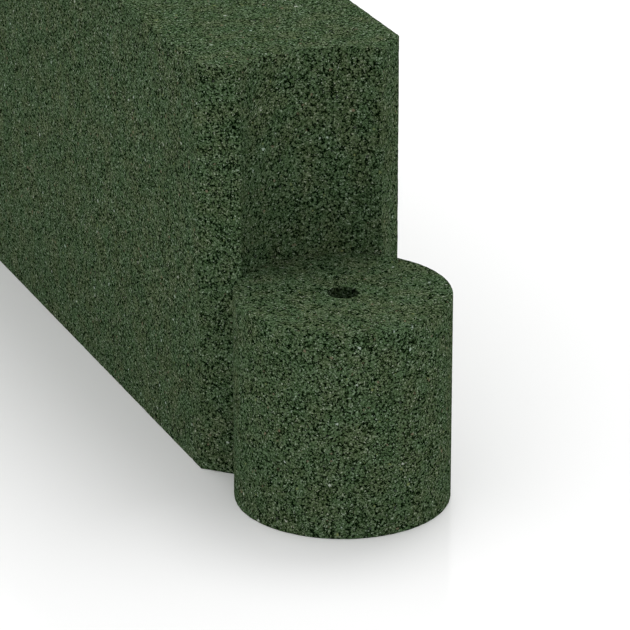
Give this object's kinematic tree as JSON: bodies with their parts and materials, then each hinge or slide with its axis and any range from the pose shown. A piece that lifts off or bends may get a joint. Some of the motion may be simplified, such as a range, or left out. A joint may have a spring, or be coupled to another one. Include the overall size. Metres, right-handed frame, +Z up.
{
  "type": "mounting block",
  "caption": "Long rubber-granulate block with chamfered, hollowed ends and a separate half-height round step, bored for a ground pin, nested in one end.",
  "frame": {"origin": "middle of the long block's footprint, on the ground", "axes": "+Z up, +Y along the long block away from the round step, +X across the long block"},
  "size_m": [0.2, 1.1721, 0.4],
  "materials": {
    "green_granulate": "coarse pressed granulate, dark green, matt with small glints"
  },
  "bodies": {
    "block": {"long_block": "green_granulate"},
    "step": {"round_step": "green_granulate"}
  },
  "joints": [
    {"name": "step_pull_out", "type": "slide", "parent": "block", "child": "step", "axis": [0, -1, 0], "range_m": [0, 0.2]}
  ]
}
